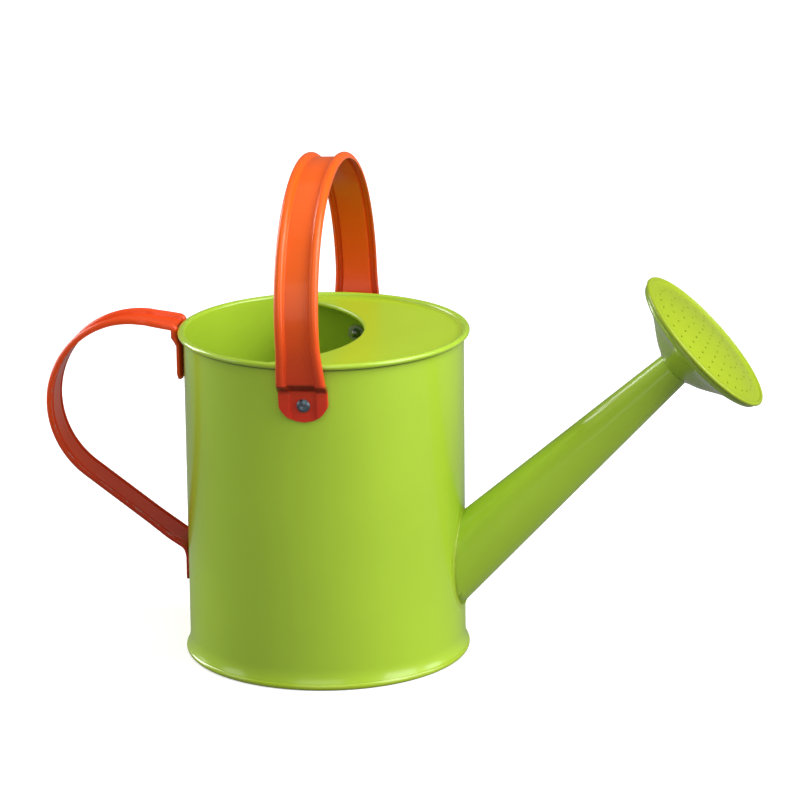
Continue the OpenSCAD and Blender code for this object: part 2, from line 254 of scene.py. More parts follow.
def enamel(name, color, rough=0.235, wear=0.5, coat=0.35, gloss=0.5, painted_shade_below=None, painted_shadow_band=None):
    """Sprayed gloss enamel on sheet steel: soft orange peel, slight fading, dust and rubbed edges.
    The argument for painted shade below, (colour, low, high) in metres, paints shade: the enamel darkens to that
    colour from the height high down to low, and is fully that colour below low.
    The argument for a painted shadow band, (low, high, radius) in millimetres, paints shadow: a dark band between
    those heights, outside that radius."""
    material, tree, shader = node_tree(name)
    coords = tree.nodes.new("ShaderNodeTexCoord").outputs["Object"]
    edge = tree.nodes.new("ShaderNodeNewGeometry").outputs["Pointiness"]

    fade = noise(tree, coords, 22, 2)
    mottle = noise(tree, coords, 140, 2)
    tone = blend_colors(tree, remap(tree, fade, 0.05, 0.95, 0, 1), scaled(color, 0.94), scaled(color, 1.06))
    tone = blend_colors(tree, remap(tree, mottle, 0.35, 0.75, 0, 0.05), tone, scaled(color, 0.86))
    # painted shade: lower down, the enamel turns to a darker shade colour
    if painted_shade_below:
        shade_color, low, high = painted_shade_below
        tone = blend_colors(tree, remap(tree, height_of(tree, coords), low, high, 1, 0), tone, shade_color)
    # painted shadow: a dark band between two heights, as under the rim's bead and across the joggle
    if painted_shadow_band:
        low, high, radius = painted_shadow_band
        height = height_of(tree, coords)
        above = remap(tree, height, (low - 0.3) * MM, (low + 0.3) * MM, 0, 1)
        below = remap(tree, height, (high - 0.3) * MM, (high + 0.3) * MM, 0.72, 0)
        fold = multiply(tree, multiply(tree, above, below), outside_mask(tree, coords, radius))
        tone = blend_colors(tree, fold, tone, scaled(color, 0.10))
    dust = remap(tree, noise(tree, coords, 1900, 2, 0.7), 0.70, 0.80, 0, 0.16)
    tone = blend_colors(tree, dust, tone, (0.62, 0.62, 0.50))
    rubbed = multiply(
        tree,
        remap(tree, edge, 0.535, 0.60, 0, wear),
        remap(tree, noise(tree, coords, 420, 5, 0.7), 0.50, 0.66, 0, 1),
    )
    tone = blend_colors(tree, rubbed, tone, BARE_STEEL)
    tree.links.new(tone, shader.inputs["Base Color"])

    # the range stays on one side of 0.27, as crossing it leaves faint outlines in the denoised picture
    smear = remap(tree, noise(tree, coords, 38, 2), 0.05, 0.95, rough - 0.035, rough + 0.035)
    tree.links.new(smear, shader.inputs["Roughness"])
    peel = bump(tree, noise(tree, coords, 520, 2), 0.10, 0.00012)
    sag = bump(tree, noise(tree, coords, 26, 0), 0.05, 0.0011, peel)
    tree.links.new(sag, shader.inputs["Normal"])
    shader.inputs["Specular IOR Level"].default_value = gloss
    shader.inputs["Coat Weight"].default_value = coat
    shader.inputs["Coat Roughness"].default_value = 0.12
    return material


def plated_steel(name, color, rough=0.36):
    """Dull zinc-plated steel with turning marks, dark specks and brighter edges."""
    material, tree, shader = node_tree(name)
    coords = tree.nodes.new("ShaderNodeTexCoord").outputs["Object"]
    edge = tree.nodes.new("ShaderNodeNewGeometry").outputs["Pointiness"]
    patches = remap(tree, noise(tree, coords, 900, 4), 0.35, 0.65, 0, 1)
    tone = blend_colors(tree, patches, scaled(color, 0.75), scaled(color, 1.2))
    specks = remap(tree, noise(tree, coords, 3200, 2), 0.62, 0.72, 0, 0.6)
    tone = blend_colors(tree, specks, tone, scaled(color, 0.35))
    shine = remap(tree, edge, 0.52, 0.60, 0, 0.6)
    tone = blend_colors(tree, shine, tone, (0.75, 0.78, 0.80))
    tree.links.new(tone, shader.inputs["Base Color"])
    grain = remap(tree, noise(tree, coords, 1500, 4), 0.3, 0.7, rough - 0.1, rough + 0.15)
    tree.links.new(grain, shader.inputs["Roughness"])
    tree.links.new(bump(tree, noise(tree, coords, 2400, 3), 0.25, 0.00006), shader.inputs["Normal"])
    shader.inputs["Metallic"].default_value = 1.0
    return material


# painted shadows: a dark line just under the rim's bead, and a dark band across the top handle's joggles
RIM_PAINTED_SHADOW = (BEAD_FOOT - 0.9, BEAD_FOOT + 0.1, CAN_R - 0.2)
JOGGLE_PAINTED_SHADOW = (PIVOT[2] + TAB_HIGH + 0.6, PIVOT[2] + TAB_HIGH + JOGGLE_H - 0.8, 0.0)
BARE_STEEL = (0.30, 0.31, 0.30)
LIME = (0.400, 0.605, 0.034)
LIME_BRIGHT = (0.385, 0.545, 0.020)
LIME_YELLOW = (0.305, 0.405, 0.012)
LIME_SHADE = (0.280, 0.420, 0.030)
ORANGE = (0.870, 0.118, 0.006)
# painted shade colour for the top handle's lower parts
ORANGE_PAINTED_SHADE = (0.620, 0.034, 0.012)
ORANGE_DEEP = (0.790, 0.068, 0.006)
# painted shade colour for the rear handle's lower parts
REAR_ORANGE_PAINTED_SHADE = (0.430, 0.020, 0.005)
ZINC = (0.13, 0.17, 0.20)

MATERIALS = {
    "green_body": enamel("green_body", LIME, painted_shadow_band=RIM_PAINTED_SHADOW),
    "green_base": enamel("green_base", LIME_BRIGHT, wear=0.8),
    "green_cover": enamel("green_cover", LIME_BRIGHT, rough=0.35, coat=0.0),
    "green_spout": enamel("green_spout", LIME),
    "green_weld": enamel("green_weld", LIME_BRIGHT, rough=0.35),
    "green_rose_bell": enamel("green_rose_bell", LIME_SHADE, wear=0.0),
    "green_rose_face": enamel("green_rose_face", LIME_YELLOW, rough=0.33, wear=0.0, coat=0.1, gloss=0.35),
    # painted shade: the handles turn a darker, redder orange lower down
    "orange_top_handle": enamel(
        "orange_top_handle", ORANGE, rough=0.31, wear=0.7, coat=0.25, gloss=0.25,
        painted_shade_below=(ORANGE_PAINTED_SHADE, 0.134, 0.190), painted_shadow_band=JOGGLE_PAINTED_SHADOW,
    ),
    "orange_rear_handle": enamel(
        "orange_rear_handle", ORANGE_DEEP, rough=0.31, wear=0.7, coat=0.20, gloss=0.25,
        painted_shade_below=(REAR_ORANGE_PAINTED_SHADE, 0.045, 0.115),
    ),
    "zinc_rivet": plated_steel("zinc_rivet", ZINC),
    "zinc_washer": plated_steel("zinc_washer", (0.40, 0.42, 0.44), 0.42),
    "steel_mandrel": plated_steel("steel_mandrel", (0.14, 0.16, 0.19), 0.30),
    "steel_wire": plated_steel("steel_wire", (0.42, 0.43, 0.45)),
}


# ---- mesh helpers ----


def new_mesh(name, mesh_data):
    """A mesh from vertices in millimetres and faces."""
    vertices, faces = mesh_data
    mesh = bpy.data.meshes.new(name)
    mesh.from_pydata([Vector(v) * MM for v in vertices], [], faces)
    return mesh


def weld(mesh, distance):
    """Merges points that are closer than a distance and turns every face outwards."""
    shell = bmesh.new()
    shell.from_mesh(mesh)
    bmesh.ops.remove_doubles(shell, verts=shell.verts, dist=distance)
    bmesh.ops.recalc_face_normals(shell, faces=shell.faces)
    shell.to_mesh(mesh)
    shell.free()


def finish_piece(name, mesh_data, slot, body, nodes, sharp):
    """Turns vertices in millimetres and faces into a piece that rides on a body. Its edges stay sharp
    above an angle in degrees."""
    mesh = new_mesh(name, mesh_data)
    mesh.validate()
    weld(mesh, PIECE_WELD)
    mesh.polygons.foreach_set("use_smooth", [True] * len(mesh.polygons))
    mesh.set_sharp_from_angle(angle=math.radians(sharp))
    piece = bpy.data.objects.new(name, mesh)
    bpy.context.scene.collection.objects.link(piece)
    mesh.materials.append(MATERIALS[slot])
    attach(piece, body)
    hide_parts(*nodes)
    return piece


def arc(centre, radius, start, end, steps, squash=1.0):
    """Points round part of a circle, from one angle to another in degrees; squash flattens it."""
    angles = [math.radians(start + (end - start) * i / steps) for i in range(steps + 1)]
    return [
        (centre[0] + radius * math.cos(a), centre[1] + radius * squash * math.sin(a)) for a in angles
    ]


def polar(radius, turn, z):
    """The point at a radius, an angle in radians and a height."""
    return Vector((radius * math.cos(turn), radius * math.sin(turn), z))


def ring_faces(segments, count):
    """The faces between closed outlines of count points each, the last joined to the first."""
    faces = []
    for k in range(segments):
        here, there = k * count, (k + 1) % segments * count
        for i in range(count):
            j = (i + 1) % count
            faces.append((here + i, there + i, there + j, here + j))
    return faces


def lathe(profile, segments, place=Matrix.Identity(4)):
    """Turns a closed outline of (radius, height) points round its axis."""
    vertices = []
    for k in range(segments):
        turn = 2 * math.pi * k / segments
        vertices += [place @ polar(r, turn, z) for r, z in profile]
    return vertices, ring_faces(segments, len(profile))


def apply_modifier(piece, kind, **settings):
    """Adds a modifier and puts its result in place of the piece's mesh."""
    modifier = piece.modifiers.new(kind, kind)
    for key, value in settings.items():
        setattr(modifier, key, value)
    depsgraph = bpy.context.evaluated_depsgraph_get()
    result = bpy.data.meshes.new_from_object(piece.evaluated_get(depsgraph))
    piece.modifiers.remove(modifier)
    piece.data = result


def cut_with(piece, mesh_data):
    """Takes a closed shape, in millimetres, out of a piece."""
    mesh = new_mesh("cutter", mesh_data)
    weld(mesh, CUTTER_WELD)
    cutter = bpy.data.objects.new("cutter", mesh)
    bpy.context.scene.collection.objects.link(cutter)
    apply_modifier(piece, "BOOLEAN", object=cutter, operation="DIFFERENCE", solver="EXACT")
    bpy.data.objects.remove(cutter)


def rod(radius, low, high, place, segments=32):
    """A closed cylinder along Z, put in place."""
    outline = [(0.0, low), (radius, low), (radius, high), (0.0, high)]
    return lathe(outline, segments, place)


def along_axis(origin, direction):
    """The placement whose +Z points in a direction."""
    return Matrix.Translation(origin) @ Vector(direction).to_track_quat("Z", "Y").to_matrix().to_4x4()


SPOUT_PLACE = along_axis(SPOUT_TIP, SPOUT_DIR)
PIVOT_PLACES = {side: along_axis(Vector((PIVOT[0], 0, PIVOT[2])), (0, side, 0)) for side in (-1, 1)}


def rear_place(node):
    """The placement of a rear rivet, from its CAD node, with +Z out of the can's back."""
    low, high = box_mm(node)
    return along_axis(Vector((0, 0, (low[2] + high[2]) / 2)), (-1, 0, 0))


# ---- the can ----


def make_body():
    """The rolled wall: flared at the seam, straight, then curled outwards into the rim's bead."""
    wall_in = CAN_R - SHEET
    bead_mid = (RIM_R + wall_in) / 2
    bead_w = (RIM_R - wall_in) / 2
    bead_h = WIRE_R + SHEET
    flare_foot, flare_top, flare_curve = SEAM_H - 0.4, SEAM_H + 6.5, 2.2
    flare_r = SEAM_R - SHEET
    flare = [
        (CAN_R + (flare_r - CAN_R) * (1 - t) ** flare_curve, flare_foot + (flare_top - flare_foot) * t)
        for t in [i / 10 for i in range(11)]
    ]
    wall = [(CAN_R, flare_top + (RIM_MID_Z - 2.6 - flare_top) * i / 24) for i in range(1, 25)]
    curl = arc((bead_mid, RIM_MID_Z), bead_w, -118, 180, 26, bead_h / bead_w)
    inside = [(wall_in, z) for _, z in reversed(wall)]
    lining = [(r - SHEET, z) for r, z in reversed(flare)]
    foot = [(flare_r - SHEET, 0.8), (flare_r, 0.8)]
    profile = flare + wall + [(CAN_R, RIM_MID_Z - 1.6)] + curl + inside + lining + foot
    body = finish_piece("can_wall", lathe(profile, 256), "green_body", "can", ["body_shell"], 40)
    near, far = 110.0, 160.0
    inlet = [
        (0.0, -far), (spout_radius(far) - SHEET, -far), (spout_radius(near) - SHEET, -near), (0.0, -near),
    ]
    cut_with(body, lathe(inlet, 96, SPOUT_PLACE))
    for side in (-1, 1):
        cut_with(body, rod(RIVET_R, 40, 80, PIVOT_PLACES[side]))
    for node in ("rear_rivet_upper", "rear_rivet_lower"):
        cut_with(body, rod(RIVET_R, 40, 80, rear_place(node)))


def make_base():
    """The pressed bottom, with its edge folded over the wall's foot as a rounded seam."""
    inner = SEAM_R - 2 * SHEET
    floor, under = SEAM_H, SEAM_H - SHEET
    well = inner - SHEET
    flat_r, rib_in, rib_out = well * 0.35, well * 0.945, well * 0.965
    rib_drop, corner_r, foot_r = 0.5, 0.6, 0.5
    bottom = [(0.0, under), (flat_r, under), (well * 0.93, under)]
    rib = [(rib_in, under - rib_drop), (rib_out, under - rib_drop)]
    corner = arc((well - corner_r, under - corner_r), corner_r, 90, 0, 5)
    foot = arc((well + foot_r, foot_r), foot_r, 180, 270, 5)
    bulge = arc((SEAM_R - SEAM_H / 2, SEAM_H / 2), SEAM_H / 2, -78, 84, 14)
    tuck = [(CAN_R + 1.0, SEAM_H - 0.35), (inner - 0.05, SEAM_H - 0.35), (inner - 0.3, floor)]
    top = [(rib_out, floor), (rib_in, floor), (flat_r, floor), (0.0, floor)]
    profile = bottom + rib + corner + foot + bulge + tuck + top
    finish_piece("can_base", lathe(profile, 256), "green_base", "can", ["base_plate"], 40)


def crescent_edges(count):
    """Matching points along the opening's edge and along the wall, from one horn to the other."""
    wall_r = CAN_R - SHEET
    middle = OPENING_TIP_X - OPENING_R
    horn_x = (OPENING_R**2 - middle**2 - wall_r**2) / (-2 * middle)
    horn_y = math.sqrt(wall_r**2 - horn_x**2)
    edge_half = math.atan2(horn_y, horn_x - middle)
    wall_half = math.atan2(horn_y, horn_x)
    rows = []
    for i in range(count + 1):
        t = math.sin(math.pi * (i / count - 0.5))
        near = Vector((middle + OPENING_R * math.cos(edge_half * t), OPENING_R * math.sin(edge_half * t)))
        far = Vector((wall_r * math.cos(wall_half * t), wall_r * math.sin(wall_half * t)))
        rows.append((near, far))
    return rows, Vector((middle, 0))


def make_cover():
    """The crescent cover: a sheet with a rolled hem at the opening and an edge turned up to the rim."""
    rows, middle = crescent_edges(120)
    top = BEAD_FOOT + SHEET
    hem_w, lip_w, swell = 1.2, 1.5, 0.35
    hem = [(0.0, -2.0), (0.02, -1.2), (0.12, -0.5), (0.5, -0.08), (hem_w, 0.0)]
    fractions = [0.08, 0.2, 0.35, 0.5, 0.65, 0.8, 0.9, 0.955]
    lip = [(lip_w, 0.0), (0.75, 0.12), (0.25, 0.45), (0.0, 1.0)]
    vertices, faces = [], []
    for near, far in rows:
        outward, inward = (near - middle).normalized(), -far.normalized()
        gap = (far - near).length
        shrink = min(1.0, gap / 6)
        line = [(near + outward * reach * shrink, top + height) for reach, height in hem]
        start, stop = near + outward * hem_w * shrink, far + inward * lip_w * shrink
        for f in fractions:
            rise = swell * math.sin(math.pi * f) * min(1.0, gap / 40)
            line.append((start.lerp(stop, f), top + rise))
        line += [(far + inward * reach * shrink, top + height) for reach, height in lip]
        vertices += [(p.x, p.y, z) for p, z in line]
    count = len(hem) + len(fractions) + len(lip)
    for k in range(len(rows) - 1):
        for i in range(count - 1):
            a = k * count + i
            faces.append((a, a + count, a + count + 1, a + 1))
    cover = finish_piece("can_cover", (vertices, faces), "green_cover", "can", ["top_cover"], 50)
    # an open sheet's faces may come out pointing down, and it is thickened downwards from its top
    if cover.data.polygons[len(cover.data.polygons) // 2].normal.z < 0:
        cover.data.flip_normals()
    apply_modifier(cover, "SOLIDIFY", thickness=SHEET * MM, offset=-1.0)


# ---- the spout ----


def spout_radius(back):
    """The spout's outer radius at a distance back from its open end."""
    return SPOUT_TIP_R + SPOUT_TAPER * back


def spout_root(turn, allowance, wall_r):
    """How far back from the open end the spout's side meets a round wall, found by halving."""
    low, high = 100.0, 185.0
    for _ in range(40):
        back = (low + high) / 2
        p = SPOUT_PLACE @ polar(spout_radius(back) + allowance, turn, -back)
        if math.hypot(p.x, p.y) > wall_r and p.x > 0:
            low = back
        else:
            high = back
    return (low + high) / 2


def make_spout():
    """The tapered tube, open at its tip and cut to the can's curve at its root."""
    segments, rings = 144, 40
    vertices = []
    for k in range(segments):
        turn = 2 * math.pi * k / segments
        root = spout_root(turn, 0.0, CAN_R)
        for i in range(rings + 1):
            back = root * i / rings
            r = spout_radius(back) - (TIP_EASE if i == 0 else 0.0)
            vertices.append(SPOUT_PLACE @ polar(r, turn, -back))
        for i in range(rings, -1, -1):
            back = (root + SHEET) * i / rings
            vertices.append(SPOUT_PLACE @ polar(spout_radius(back) - SHEET, turn, -back))
    faces = ring_faces(segments, 2 * (rings + 1))
    finish_piece("spout", (vertices, faces), "green_spout", "can", ["spout_tube"], 50)


def make_weld():
    """The soldered fillet round the spout's root: a concave bead with slight ripples."""
    segments, steps = 240, 8
    on_wall, on_spout, proud, buried = 1.6, 1.05, 0.02, 0.3
    vertices = []
    for k in range(segments):
        turn = 2 * math.pi * k / segments
        ripple = 1 + 0.10 * math.sin(turn * 31) + 0.06 * math.sin(turn * 53 + 1.3)
        for i in range(steps + 1):
            f = i / steps
            side = on_wall * ripple * (1 - f) ** 2
            rise = on_spout * ripple * f**2
            root = spout_root(turn, side, CAN_R + proud)
            p = SPOUT_PLACE @ polar(spout_radius(root) + side + proud, turn, -root)
            flat = Vector((p.x, p.y, 0)).normalized()
            vertices.append(p + flat * rise)
        root = spout_root(turn, -buried, CAN_R - buried)
        vertices.append(SPOUT_PLACE @ polar(spout_radius(root) - buried, turn, -root))
    faces = ring_faces(segments, steps + 2)
    finish_piece("spout_fillet", (vertices, faces), "green_weld", "can", ["spout_weld"], 60)


# ---- the rose ----


def smooth_curve(points, per_span):
    """A Catmull-Rom curve through a few points of an outline."""

    def blend(p, q, r, s, t):
        square, cube = 2 * p - 5 * q + 4 * r - s, 3 * q - p - 3 * r + s
        return 0.5 * (2 * q + (r - p) * t + square * t**2 + cube * t**3)

    padded = [points[0], *points, points[-1]]
    curve = []
    for span in zip(padded, padded[1:], padded[2:], padded[3:]):
        for i in range(per_span):
            curve.append(tuple(blend(*values, i / per_span) for values in zip(*span)))
    return curve + [points[-1]]


def make_bell():
    """The flared back of the rose, with the sleeve inside that slips over the spout's tip."""
    neck = spout_radius(-ROSE_NECK) + ROSE_PLAY
    depth = ROSE_RIM - ROSE_NECK
    outline = [
        (neck + 0.35, 0.0), (neck + 0.8, 0.1), (11.2, 1.5), (15.0, 3.5), (19.2, 6.3), (23.0, 9.1),
        (27.6, 12.1), (30.8, 13.6), (34.0, 14.9), (ROSE_R - 1.6, depth - 2.0), (ROSE_R - 1.0, depth - 0.7),
    ]
    outside = [(r, ROSE_NECK + z) for r, z in smooth_curve(outline, 5)]
    inside = [(r - 0.35 * SHEET, z + 0.9 * SHEET) for r, z in reversed(outside[3:])]
    sleeve_r = SPOUT_TIP_R + ROSE_PLAY
    sleeve = [(neck + SHEET, ROSE_NECK + 1.0), (sleeve_r + SHEET, 0.0), (sleeve_r, 0.0), (neck, ROSE_NECK)]
    bell = lathe(outside + inside + sleeve, 192, SPOUT_PLACE)
    finish_piece("rose_back", bell, "green_rose_bell", "rose", ["rose_bell"], 45)


def spray_places():
    """Where the spray holes are: one in the middle and evenly filled rings round it."""
    places = [(0.0, 0.0)]
    step = (ROSE_R - ROSE_FLANGE - 2.0) / SPRAY_RINGS
    for ring in range(1, SPRAY_RINGS + 1):
        for i in range(6 * ring):
            turn = 2 * math.pi * i / (6 * ring)
            places.append((ring * step * math.cos(turn), ring * step * math.sin(turn)))
    return places


def make_face():
    """The domed face: a shallow gutter inside a rolled edge, and true spray holes."""
    rim_z = axis_range("rose_face", SPOUT_DIR)[1] - SPOUT_END - ROSE_DOME
    edge_r = 1.0
    dome_r, flange_r = ROSE_R - ROSE_FLANGE, ROSE_R - 2 * edge_r
    rise = ROSE_DOME - 0.3
    ball = (dome_r**2 + rise**2) / (2 * rise)
    radii = [dome_r * i / 32 for i in range(32)]
    dome = [(r, rim_z + ROSE_DOME - ball + math.sqrt(ball**2 - r**2)) for r in radii]
    flange = [(dome_r + 0.1, rim_z + 0.42), (dome_r + 0.8, rim_z + 0.3), (flange_r - 0.5, rim_z + 0.22)]
    roll = arc((ROSE_R - edge_r, rim_z), edge_r, 160, -110, 18)
    under = [(r, z - SHEET) for r, z in reversed(dome + flange)]
    profile = dome + flange + roll + under
    face = finish_piece(
        "rose_front", lathe(profile, 192, SPOUT_PLACE), "green_rose_face", "rose", ["rose_face"], 40
    )
    vertices, faces = [], []
    for x, y in spray_places():
        place = SPOUT_PLACE @ Matrix.Translation((x, y, 0))
        more, sides = rod(SPRAY_HOLE_R, rim_z - 3, rim_z + ROSE_DOME + 3, place, 14)
        faces += [tuple(i + len(vertices) for i in side) for side in sides]
        vertices += more
    cut_with(face, (vertices, faces))
    restore_dome_normals(face, SPOUT_PLACE @ Vector((0, 0, rim_z + ROSE_DOME - ball)), ball)


def restore_dome_normals(face, middle, ball):
    """Gives the drilled dome the smooth normals of its sphere, so that holes don't dent its shading."""
    mesh = face.data
    middle = middle * MM
    mesh.polygons.foreach_set("use_smooth", [True] * len(mesh.polygons))
    mesh.set_sharp_from_angle(angle=math.radians(40))
    normals = [Vector(c.vector) for c in mesh.corner_normals]
    for polygon in mesh.polygons:
        outward = polygon.center - middle
        on_top = abs(outward.length - ball * MM) < 0.12 * MM
        if on_top and polygon.normal.dot(outward.normalized()) > 0.9:
            for corner in polygon.loop_indices:
                spot = mesh.vertices[mesh.loops[corner].vertex_index].co
                normals[corner] = (spot - middle).normalized()
    mesh.normals_split_custom_set(normals)


# ---- the pressed strap ----


def rounded_path(corners, spacing=1.2, turn_step=math.radians(5)):
    """Stations (point, heading) along straight runs with rounded corners, given as (x, y, radius)."""
    stations = []
    spots = [Vector(c[:2]) for c in corners]
    last = spots[0]
    for i in range(1, len(corners)):
        here = spots[i]
        into = (here - spots[i - 1]).normalized()
        if i == len(corners) - 1:
            add_run(stations, last, here, into, spacing)
            break
        out = (spots[i + 1] - here).normalized()
        turn = -into.angle_signed(out)
        radius = corners[i][2]
        cut_back = radius * math.tan(abs(turn) / 2)
        start = here - into * cut_back
        add_run(stations, last, start, into, spacing)
        side = 1 if turn > 0 else -1
        centre = start + side * radius * Vector((-into.y, into.x))
        steps = max(3, math.ceil(abs(turn) / turn_step))
        for k in range(1, steps):
            swing = Matrix.Rotation(turn * k / steps, 2)
            stations.append((centre + swing @ (start - centre), swing @ into))
        last = here + out * cut_back
    return stations


def add_run(stations, start, end, heading, spacing):
    steps = max(1, round((end - start).length / spacing))
    for k in range(steps + 1):
        stations.append((start.lerp(end, k / steps), heading.copy()))


def arc_stations(centre, radius, start, sweep, steps):
    """Stations (point, heading) round part of a circle, from a start angle, in radians."""
    stations = []
    for k in range(steps + 1):
        a = start + sweep * k / steps
        ray = Vector((math.cos(a), math.sin(a)))
        stations.append((centre + ray * radius, Vector((-ray.y, ray.x))))
    return stations


def half_section(half_w, bead_w, bead_h, hollow):
    """(outer, inner) points of the strap's section from its middle to its edge, as (across, lift):
    a flat web, a fillet, a bead and the sheet's edge. hollow goes from 1, a half-round bead with a
    hollow underside, to 0, a squarer one with a flat underside."""
    middle = half_w - bead_w / 2
    foot = half_w - bead_w - 0.3
    outer = [(foot * f, 0.0) for f in (0.0, 0.22, 0.44, 0.64, 0.8, 0.92, 1.0)]
    outer.append((foot + 0.22, 0.04 * bead_h))
    inner = [(a, -STRAP_T) for a, _ in outer]
    room = bead_w / 2 - STRAP_T
    inner[-1] = (foot + 0.3 + 0.7 * STRAP_T * hollow, -STRAP_T)
    square = 1 - 0.72 * (1 - hollow)
    for i in range(15):
        turn = math.radians(168 - 12 * i)
        a = middle + bead_w / 2 * math.copysign(abs(math.cos(turn)) ** square, math.cos(turn))
        outer.append((a, bead_h * max(0.0, math.sin(turn)) ** square))
        under = max(bead_h - STRAP_T, -STRAP_T) * math.sin(turn)
        inner.append((
            a + hollow * (middle + room * math.cos(turn) - a),
            -STRAP_T + hollow * (under + STRAP_T),
        ))
    outer.append((half_w, -STRAP_T))
    inner.append((half_w - STRAP_T * hollow, -STRAP_T))
    return outer, inner


def strap_section(half_w, bead_w, bead_h, hollow, chord):
    """The whole closed section, cut off at the half width that a rounded end leaves."""
    outer, inner = half_section(half_w, bead_w, bead_h, hollow)
    kept = [h for a, h in outer if a <= chord]
    limit = kept[-1] if kept else 0.0
    outer = [(a, h) if a <= chord else (chord, min(h, limit)) for a, h in outer]
    inner = [(min(a, chord), h) for a, h in inner]
    right = outer + inner[::-1]
    return right + [(-a, h) for a, h in reversed(right) if a > 0]


def strap_mesh(stations, shape, place):
    """Sweeps the strap's section along its stations. shape(k) gives the section's measures at a
    station and how far it hugs the can."""
    vertices, faces = [], []
    for k, (spot, heading) in enumerate(stations):
        half_w, bead_w, bead_h, hollow, chord, hug = shape(k)
        outward = Vector((heading.y, -heading.x))
        section = strap_section(half_w, bead_w, bead_h, hollow, max(chord, 0.01))
        count = len(section)
        for across, lift in section:
            sink = hug * (CAN_R - math.sqrt(CAN_R**2 - across**2))
            p = spot + outward * (lift - sink)
            vertices.append(place(p.x, p.y, across))
    for k in range(len(stations) - 1):
        for i in range(count):
            a, b = k * count + i, k * count + (i + 1) % count
            faces.append((a, b, b + count, a + count))
    last = (len(stations) - 1) * count
    faces.append(tuple(range(count))[::-1])
    faces.append(tuple(range(last, last + count)))
    return vertices, faces


def ease(value, low, high):
    """0 below low, 1 above high, and a smooth step between."""
    t = min(1.0, max(0.0, (value - low) / (high - low)))
    return t * t * (3 - 2 * t)


def tab_chord(from_end):
    """Half the width that a tab's rounded end leaves at a distance from its tip."""
    return math.sqrt(max(0.0, TAB_ROUND_R**2 - (TAB_ROUND_R - min(from_end, TAB_ROUND_R)) ** 2))


def make_top_handle():
    """The arched strap with a joggle, a flattened fold and a rounded tab at each end."""
    tab_face = box_mm("pivot_rivet_far")[1][1] - RIVET_HEAD_H - HANDLE_GAP
    rise = SHOULDER_Z - SHOULDER_R * math.sin(LEG_LEAN) - PIVOT[2] - TAB_HIGH - JOGGLE_H
    foot = HANDLE_HALF_W - SHOULDER_R * (1 - math.cos(LEG_LEAN)) - rise * math.tan(LEG_LEAN)
    half = [(tab_face, -TAB_LOW, 0), (tab_face, TAB_HIGH, 0.6), (foot, TAB_HIGH + JOGGLE_H, 1.6)]
    crown_half = math.asin((HANDLE_HALF_W - SHOULDER_R) / (CROWN_R - SHOULDER_R))
    shoulder_z = SHOULDER_Z - PIVOT[2]
    crown_z = shoulder_z - (CROWN_R - SHOULDER_R) * math.cos(crown_half)
    leg_end = (foot + rise * math.tan(LEG_LEAN), TAB_HIGH + JOGGLE_H + rise, 0)
    stations = rounded_path([*half, leg_end], 0.5)[:-1]
    shoulder_mid = Vector((HANDLE_HALF_W - SHOULDER_R, shoulder_z))
    sweep = math.pi / 2 - crown_half
    stations += arc_stations(shoulder_mid, SHOULDER_R, -LEG_LEAN, sweep + LEG_LEAN, 32)
    stations += arc_stations(Vector((0, crown_z)), CROWN_R, sweep, crown_half, 12)[1:]
    stations += [(Vector((-p.x, p.y)), Vector((h.x, -h.y))) for p, h in reversed(stations[:-1])]
    lean = Matrix.Rotation(-HANDLE_LEAN, 4, "Y")
    pivot = Vector((PIVOT[0], 0, PIVOT[2]))

    def place(x, y, across):
        return pivot + lean @ Vector((across, x, y))

    def shape(k):
        spot = stations[k][0]
        height = spot.y
        on_strap = ease(height, TAB_HIGH + JOGGLE_H - 2.2, TAB_HIGH + JOGGLE_H + 0.9)
        half_w = STRAP_W / 2 + (TAB_W - STRAP_W) / 2 * (1 - ease(height, TAB_HIGH, TAB_HIGH + 24))
        bead_w = 2 * BEAD_R + TAB_BEAD_SPREAD * (1 - on_strap)
        bead_h = TAB_BEAD_H + (BEAD_R - TAB_BEAD_H) * on_strap
        return half_w, bead_w, bead_h, on_strap, tab_chord(height + TAB_LOW), 0.0

    piece = finish_piece(
        "top_handle_strap", strap_mesh(stations, shape, place), "orange_top_handle", "swing_handle",
        ["top_handle"], 50,
    )
    for side in (-1, 1):
        cut_with(piece, rod(RIVET_R + PIVOT_PLAY, 60, 70, PIVOT_PLACES[side], 24))


